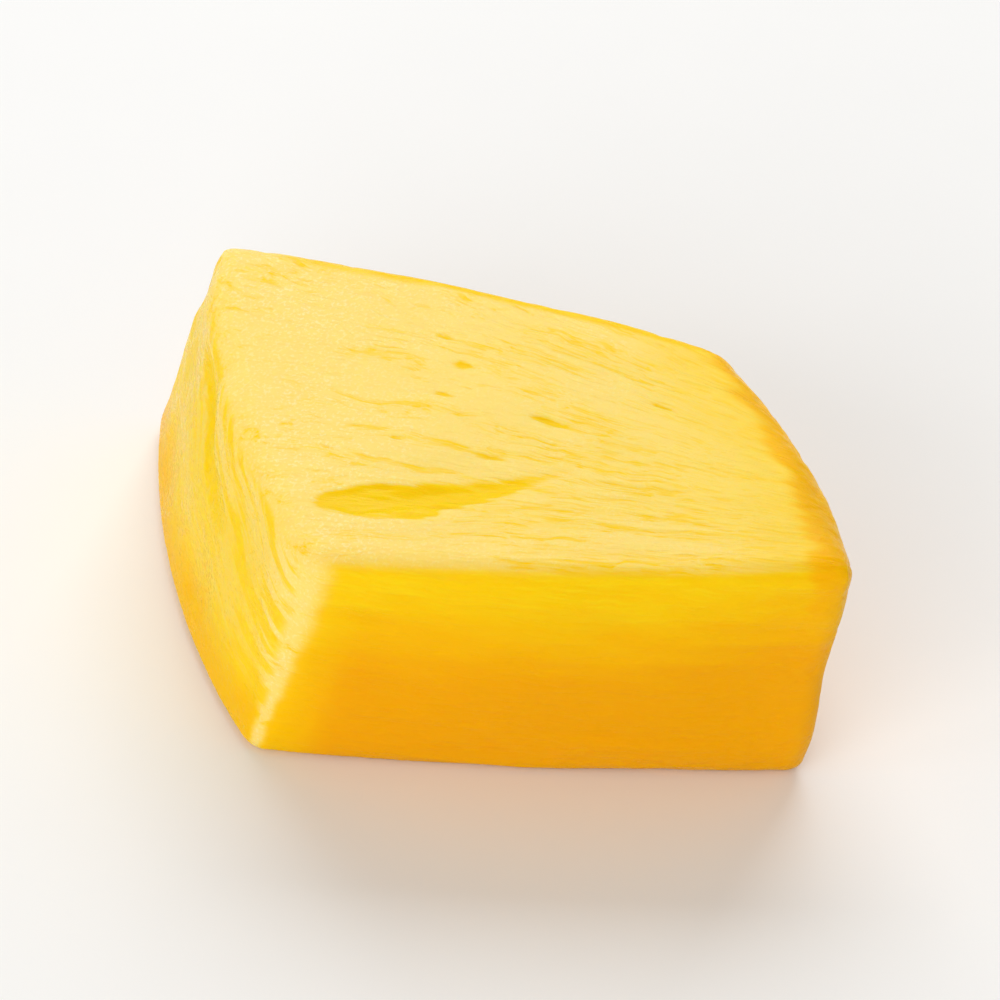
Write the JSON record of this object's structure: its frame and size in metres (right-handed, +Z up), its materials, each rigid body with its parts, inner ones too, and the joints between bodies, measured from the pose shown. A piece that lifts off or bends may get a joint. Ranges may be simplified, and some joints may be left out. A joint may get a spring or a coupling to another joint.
{
  "type": "pineapple chunk",
  "caption": "Wedge of fresh pineapple flesh with flat knife-cut faces, a rounded outer side and visible fibres, lying on one cut face.",
  "frame": {"origin": "centre of the chunk's box, on the cut face that it rests on", "axes": "+X from the peel side to the core side, along the fibres; +Y from the front cut to the back cut; +Z up"},
  "size_m": [0.0406, 0.0346, 0.0175],
  "materials": {
    "pineapple_flesh": "moist satin fruit flesh, bright yellow with paler fibres"
  },
  "bodies": {
    "root": {"pineapple_chunk": "pineapple_flesh"}
  },
  "joints": []
}
